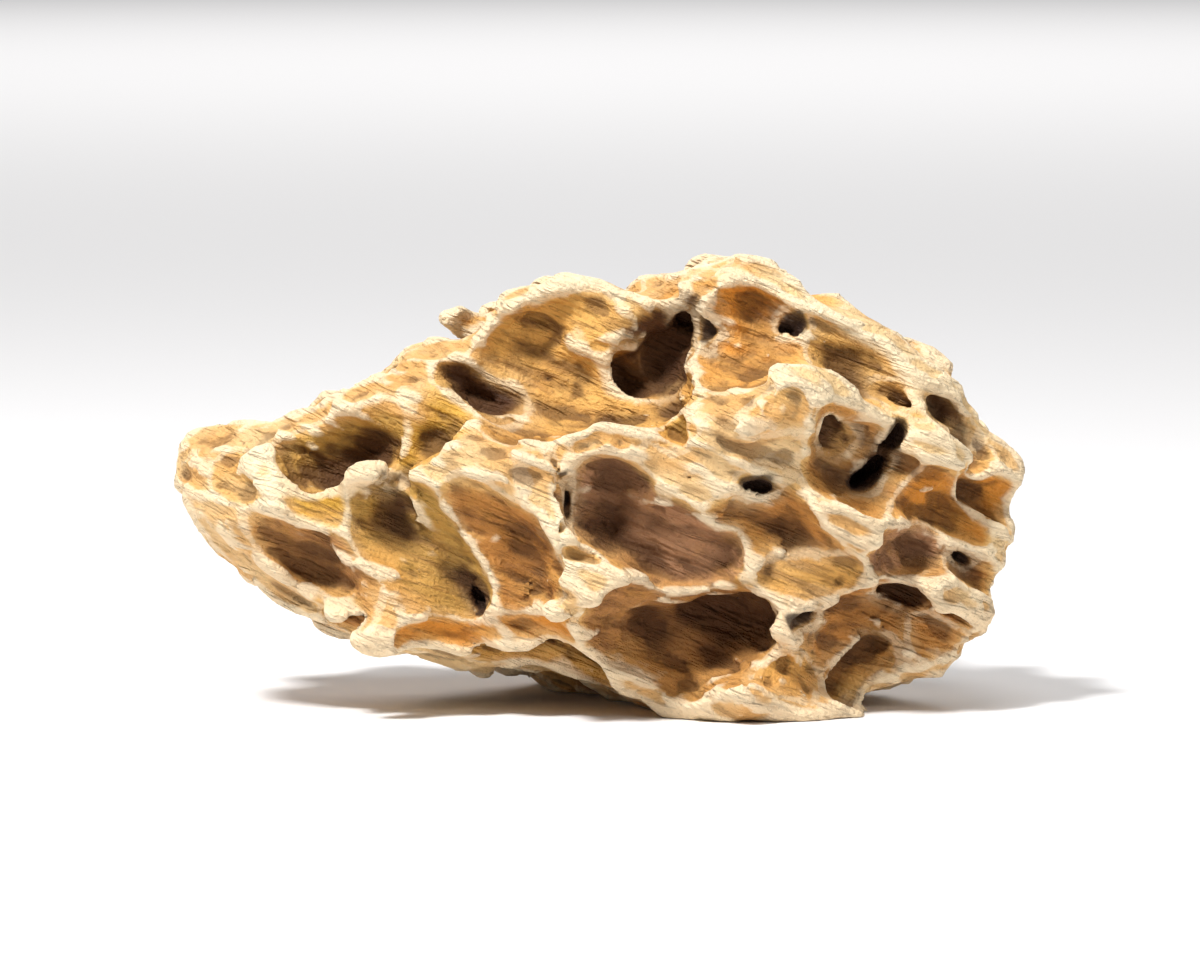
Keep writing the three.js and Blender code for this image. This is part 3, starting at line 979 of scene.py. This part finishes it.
def make_material():
    """The clay rock: cream and tan land, gilt walls, tinted floors, pale crests with painted highlight and
    painted shade in the depths, creases and holes and under the overhangs.
    """
    tree = Tree("clay_rock")
    place = tree.node("ShaderNodeTexCoord").outputs["Object"]
    bedded = tree.node("ShaderNodeMapping", vector_type="TEXTURE")
    tree.set(bedded.inputs["Vector"], place)
    bedded.inputs["Rotation"].default_value = (0, -math.radians(BEDDING_TILT), 0)
    bedded.inputs["Scale"].default_value = BEDDING_STRETCH
    layers = bedded.outputs["Vector"]

    crest = tree.attribute("crest")
    enclosed = tree.attribute("enclosed")
    depth = tree.attribute("depth")
    floor = tree.attribute("floor")
    hole = tree.attribute("hole")
    rim = tree.attribute("rim")
    up = tree.attribute("up")
    tint = tree.attribute("tint", "Color")

    patches = tree.noise(place, size=22, detail=3)
    blotches = tree.noise(place, size=7, detail=4)
    mottle = tree.noise(place, size=2.2, detail=4)
    grain = tree.noise(place, size=0.7, detail=3)
    torn = tree.noise(layers, size=5.0, detail=5, roughness=0.7, distortion=0.3)
    lines = tree.noise(layers, size=4.5, detail=4, roughness=0.65, distortion=0.6)
    bands = tree.fold(tree.noise(layers, size=3.4, detail=2, roughness=0.5, distortion=0.4))
    creases = tree.fold(tree.noise(layers, size=3.0, detail=2, roughness=0.5, distortion=0.8))

    land = tree.mix(tree.step(patches, 0.42, 0.60), LAND_CREAM, LAND_TAN)
    land = tree.paint(land, LAND_GREY, tree.step(blotches, 0.52, 0.70), strength=0.4)
    land = tree.paint(land, LAND_LINE, tree.step(lines, 0.52, 0.66), strength=0.4)
    gilt = tree.mix(tree.step(patches, 0.42, 0.58), WALL_GOLD, WALL_RUST)
    hollow = tree.paint(tint, FLOOR_OCHRE, tree.step(blotches, 0.48, 0.70), strength=0.45)
    hollow = tree.paint(hollow, FLOOR_DARK, tree.step(lines, 0.50, 0.64), strength=0.55)

    # From the land over the walls to the floors, with torn edges. The floor tint is laid on fully where a
    # floor faces down, which paints shade under the overhangs, and less where it faces up.
    ragged = tree.math("MULTIPLY", tree.math("SUBTRACT", torn, 0.5), 6.0)
    sunk = tree.math("MULTIPLY", floor, tree.math("ADD", depth, ragged))
    colour = tree.paint(land, gilt, tree.step(sunk, 0.2, 1.8), strength=0.8)
    overhang_shade = tree.math("SUBTRACT", 1.0, tree.math("MULTIPLY", tree.step(up, 0.0, 0.8), 0.6))
    colour = tree.paint(colour, hollow, tree.step(sunk, 1.2, 4.4), strength=overhang_shade)

    # Pale edges and crests: the walls near the crests are cream, and the pale crest colour is laid along the
    # rims and over the convex crests. It is partly the rock's own pale ridges and partly painted highlight,
    # and the rim line is weaker where painted shade falls.
    wall = tree.step(tree.math("ADD", rim, ragged), 2.6, 0.4)
    colour = tree.paint(colour, LAND_CREAM, wall, strength=0.25)
    shade = tree.step(tree.math("ADD", enclosed, tree.math("MULTIPLY", blotches, 0.12)), 0.42, 0.62)
    fine = tree.math("MULTIPLY", tree.math("SUBTRACT", mottle, 0.5), 1.6)
    rim_pale_and_highlight = tree.step(tree.math("ADD", rim, fine), 0.75, 0.35)
    rim_pale_and_highlight = tree.math("MULTIPLY", rim_pale_and_highlight, tree.step(shade, 0.7, 0.0))
    colour = tree.paint(colour, CREST_PALE_AND_HIGHLIGHT, rim_pale_and_highlight, strength=0.4)
    # Convex crests: pale crest colour and painted highlight.
    edge = tree.step(tree.math("ADD", crest, tree.math("MULTIPLY", fine, 0.12)), 0.2, 0.5)
    colour = tree.paint(colour, CREST_PALE_AND_HIGHLIGHT, edge, strength=0.7)

    # Painted shade in the concave grooves and the enclosed depths, near-black painted shade in the small
    # holes, then the dark cracks and specks of the rock.
    crease_shade = tree.step(crest, -0.06, -0.35)
    colour = tree.paint(colour, SHADE_CRACK_AND_SPECK_BROWN, crease_shade, strength=0.55)
    colour = tree.paint(colour, SHADE_CRACK_AND_SPECK_BROWN, shade, strength=0.92)
    # Near-black painted shade in the small holes, from a little inside the rim inwards.
    black = tree.math("MULTIPLY", tree.step(hole, 0.4, 0.9), tree.step(rim, 0.4, 1.4))
    colour = tree.paint(colour, HOLE_SHADE_BLACK, black, strength=0.85)
    crack = tree.math("MULTIPLY", tree.step(creases, 0.008, 0.002), tree.step(blotches, 0.5, 0.6))
    colour = tree.paint(colour, SHADE_CRACK_AND_SPECK_BROWN, crack, strength=0.35)
    colour = tree.paint(colour, SHADE_CRACK_AND_SPECK_BROWN, tree.step(grain, 0.60, 0.72), strength=0.3)

    height = 0.0
    for pattern, share in ((grain, 0.7), (lines, 1.0), (mottle, 0.9), (bands, -3.2), (creases, 2.6)):
        height = tree.math("ADD", height, tree.math("MULTIPLY", pattern, share))
    bump = tree.node("ShaderNodeBump")
    bump.inputs["Strength"].default_value = 1.0
    bump.inputs["Distance"].default_value = BUMP_HEIGHT
    tree.set(bump.inputs["Height"], height)

    shader = tree.node("ShaderNodeBsdfPrincipled")
    tree.set(shader.inputs["Base Color"], colour)
    rough = tree.node("ShaderNodeMapRange")
    tree.set(rough.inputs["Value"], mottle)
    rough.inputs["To Min"].default_value, rough.inputs["To Max"].default_value = ROUGHNESS
    tree.set(shader.inputs["Roughness"], rough.outputs["Result"])
    tree.set(shader.inputs["Normal"], bump.outputs["Normal"])
    shader.inputs["Specular IOR Level"].default_value = SPECULAR
    output = tree.node("ShaderNodeOutputMaterial")
    tree.links.new(shader.outputs["BSDF"], output.inputs["Surface"])
    return tree.material


def make_floor():
    """A plain pale floor."""
    mesh = bpy.data.meshes.new("studio_floor")
    corners = [(-FLOOR_REACH, -FLOOR_REACH, 0), (FLOOR_REACH, -FLOOR_REACH, 0)]
    corners += [(FLOOR_REACH, FLOOR_REACH, 0), (-FLOOR_REACH, FLOOR_REACH, 0)]
    mesh.from_pydata(corners, [], [(0, 1, 2, 3)])
    floor = bpy.data.objects.new("studio_floor", mesh)
    floor.location.z = -FLOOR_DROP
    tree = Tree("studio_floor")
    shader = tree.node("ShaderNodeBsdfPrincipled")
    shader.inputs["Base Color"].default_value = FLOOR_COLOUR
    shader.inputs["Roughness"].default_value = FLOOR_ROUGHNESS
    output = tree.node("ShaderNodeOutputMaterial")
    tree.links.new(shader.outputs["BSDF"], output.inputs["Surface"])
    mesh.materials.append(tree.material)
    bpy.context.scene.collection.objects.link(floor)


def face_stone(thing, azimuth, elevation, distance):
    """Puts a light or the camera around the stone, facing it."""
    around, up = math.radians(azimuth), math.radians(elevation)
    away = Vector((math.sin(around) * math.cos(up), -math.cos(around) * math.cos(up), math.sin(up)))
    thing.location = AIM + away * distance
    thing.rotation_euler = away.to_track_quat("Z", "Y").to_euler()


def make_light(name, size, power):
    """A soft square light, which the camera doesn't see."""
    light = bpy.data.lights.new(name, "AREA")
    light.size = size
    light.energy = power
    lamp = bpy.data.objects.new(name, light)
    lamp.visible_camera = False
    bpy.context.scene.collection.objects.link(lamp)
    return lamp


def make_world():
    """Weak light from all sides."""
    world = bpy.data.worlds.new("studio")
    world.use_nodes = True
    background = world.node_tree.nodes["Background"]
    background.inputs["Color"].default_value = WORLD_COLOUR
    background.inputs["Strength"].default_value = WORLD_STRENGTH
    bpy.context.scene.world = world


def make_camera():
    """A long lens in front of the stone, a little above it."""
    camera = bpy.data.cameras.new("camera")
    camera.sensor_width = CAMERA_SENSOR
    camera.lens = CAMERA_LENS
    eye = bpy.data.objects.new("camera", camera)
    face_stone(eye, 0, CAMERA_ELEVATION, CAMERA_DISTANCE)
    bpy.context.scene.collection.objects.link(eye)
    bpy.context.scene.camera = eye


stone = make_stone()
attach(stone, "root")
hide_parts("dragon_stone")

make_floor()
# The far light hangs over the floor behind the stone and keeps the background pale.
make_light("far light", FAR_LIGHT_SIZE, FAR_LIGHT_POWER).location = FAR_LIGHT_PLACE
make_world()
for name, azimuth, elevation, distance, size, power in LIGHTS:
    face_stone(make_light(name, size, power), azimuth, elevation, distance)
make_camera()
bpy.context.scene.view_settings.view_transform = "Standard"
